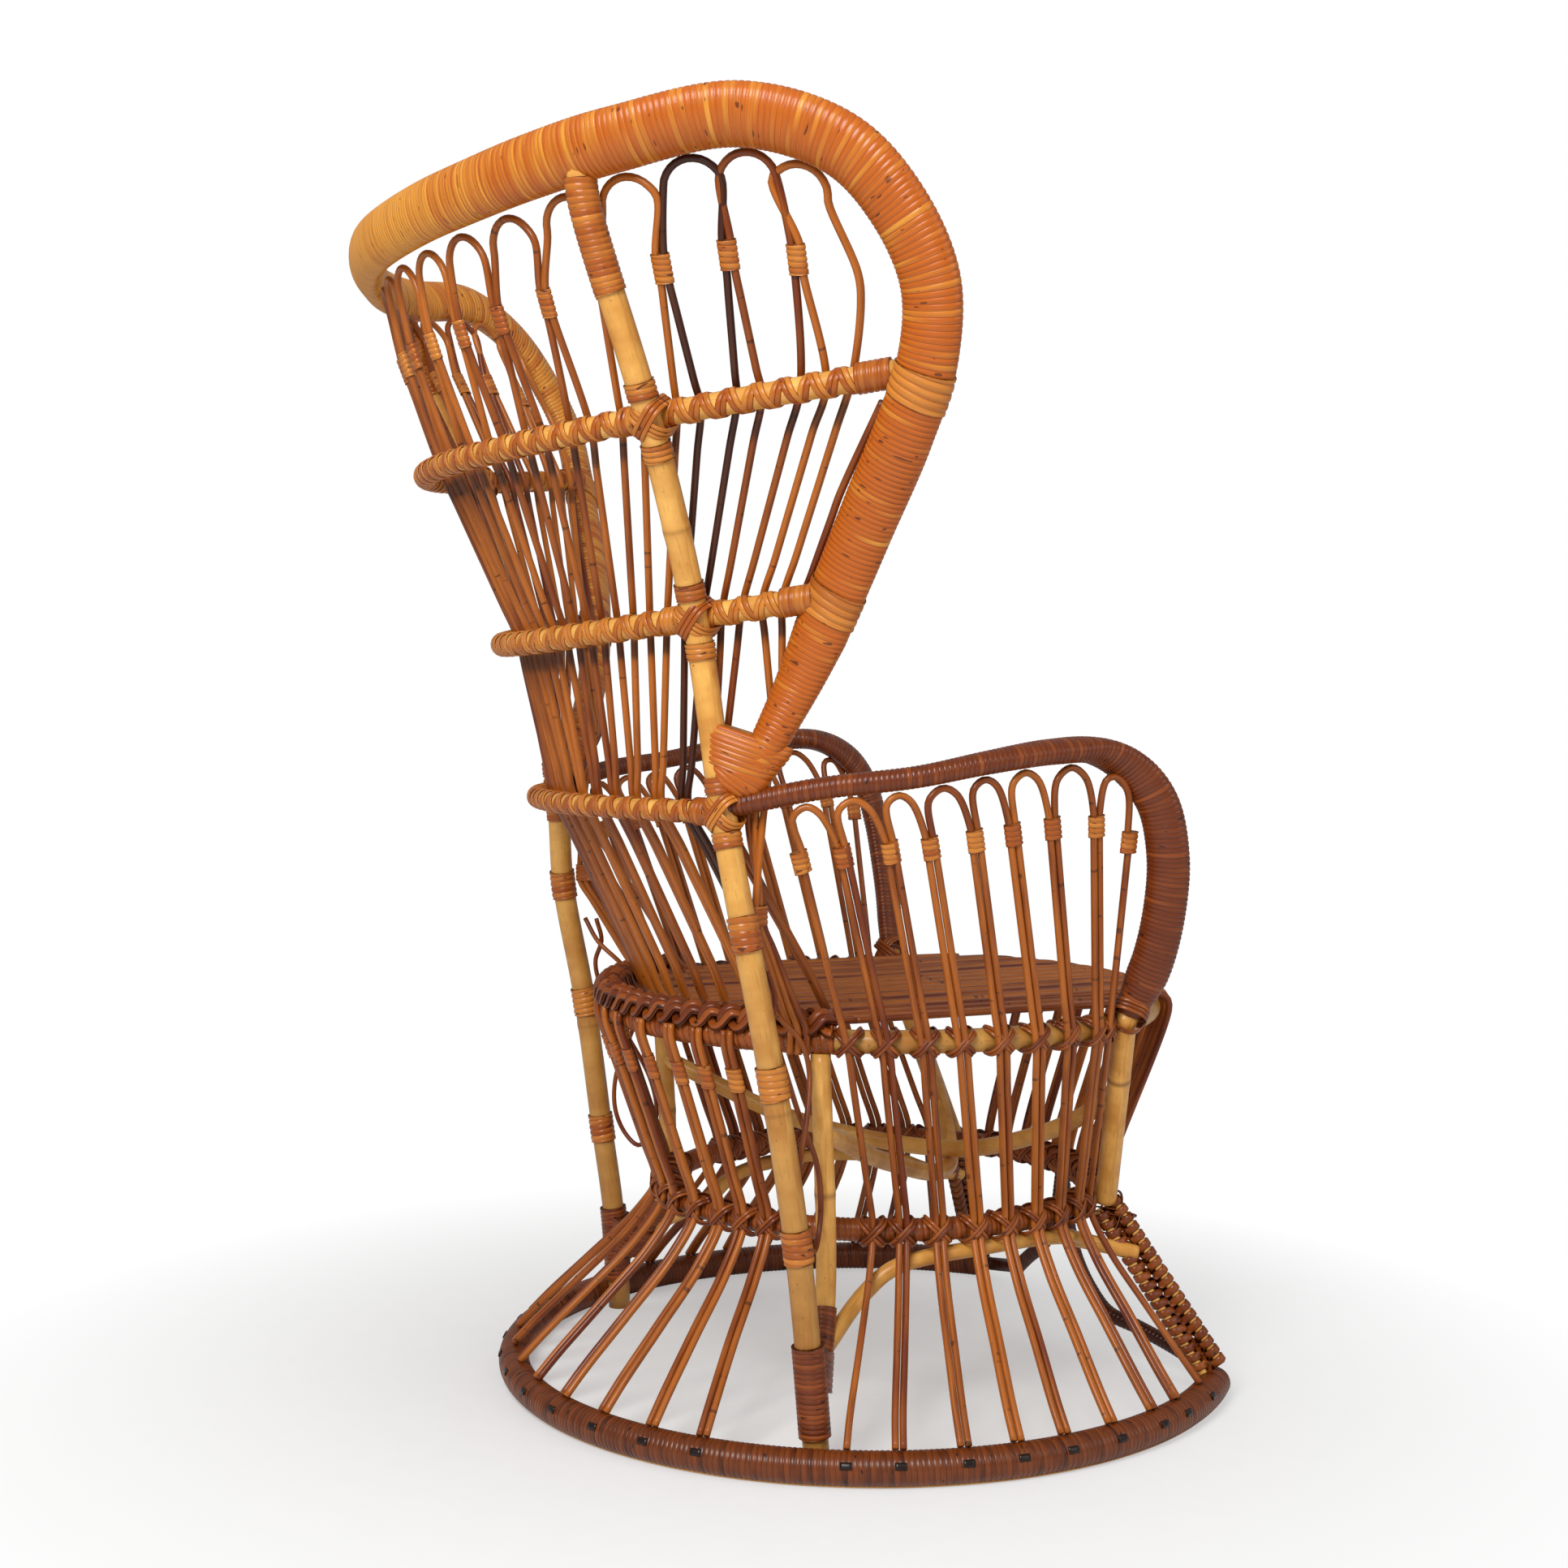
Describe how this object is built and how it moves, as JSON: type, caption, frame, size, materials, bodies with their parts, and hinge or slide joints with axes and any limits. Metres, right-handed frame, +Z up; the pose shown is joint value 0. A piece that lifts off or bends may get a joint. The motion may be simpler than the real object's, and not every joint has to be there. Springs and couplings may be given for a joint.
{
  "type": "peacock chair",
  "caption": "High winged peacock chair in rattan: reed back and flared skirt on bent poles, with cane-bound rim, hoops, arms and ring base.",
  "frame": {"origin": "on the floor, under the middle of the chair's plan", "axes": "+Z up; the sitter looks along -Y; +X is the sitter's left"},
  "size_m": [0.9478, 0.7516, 1.0551],
  "materials": {
    "bare_pole": "lacquered pale rattan pole",
    "cane_binding": "lacquered honey cane binding",
    "dark_binding": "lacquered reddish brown cane binding",
    "reed": "lacquered round reed"
  },
  "bodies": {
    "root": {"seat_ring": "bare_pole", "waist_ring": "cane_binding", "base_ring": "dark_binding", "back_post_left": "bare_pole", "back_post_right": "bare_pole", "top_rim": "cane_binding", "leg_binding_upper_left": "cane_binding", "leg_binding_upper_right": "cane_binding", "leg_binding_middle_left": "cane_binding", "leg_binding_middle_right": "cane_binding", "leg_binding_lower_left": "cane_binding", "leg_binding_lower_right": "cane_binding", "upper_hoop": "cane_binding", "lower_hoop": "cane_binding", "tie_bar": "cane_binding", "arm_rail_left": "dark_binding", "arm_rail_right": "dark_binding", "front_leg_left": "bare_pole", "front_leg_right": "bare_pole", "front_strut_left": "cane_binding", "front_strut_right": "cane_binding", "front_arch": "dark_binding", "inner_leg_left": "bare_pole", "inner_leg_right": "bare_pole", "arched_brace_left": "bare_pole", "arched_brace_right": "bare_pole", "foot_wrap_left": "cane_binding", "foot_wrap_right": "cane_binding", "cross_pole_upper": "bare_pole", "cross_pole_lower": "bare_pole", "back_reeds_1_left": "reed", "back_reeds_1_right": "reed", "back_reeds_2_left": "reed", "back_reeds_2_right": "reed", "back_reeds_3_left": "reed", "back_reeds_3_right": "reed", "back_reeds_4_left": "reed", "back_reeds_4_right": "reed", "wing_reeds_left": "reed", "wing_reeds_right": "reed", "arm_reeds_1_left": "reed", "arm_reeds_1_right": "reed", "arm_reeds_2_left": "reed", "arm_reeds_2_right": "reed", "arm_reeds_3_left": "reed", "arm_reeds_3_right": "reed", "arm_reeds_4_left": "reed", "arm_reeds_4_right": "reed", "rear_skirt_left": "reed", "rear_skirt_right": "reed", "seat_border": "cane_binding", "seat_reeds": "reed", "scroll_reed_left": "reed", "scroll_reed_right": "reed"}
  },
  "joints": []
}
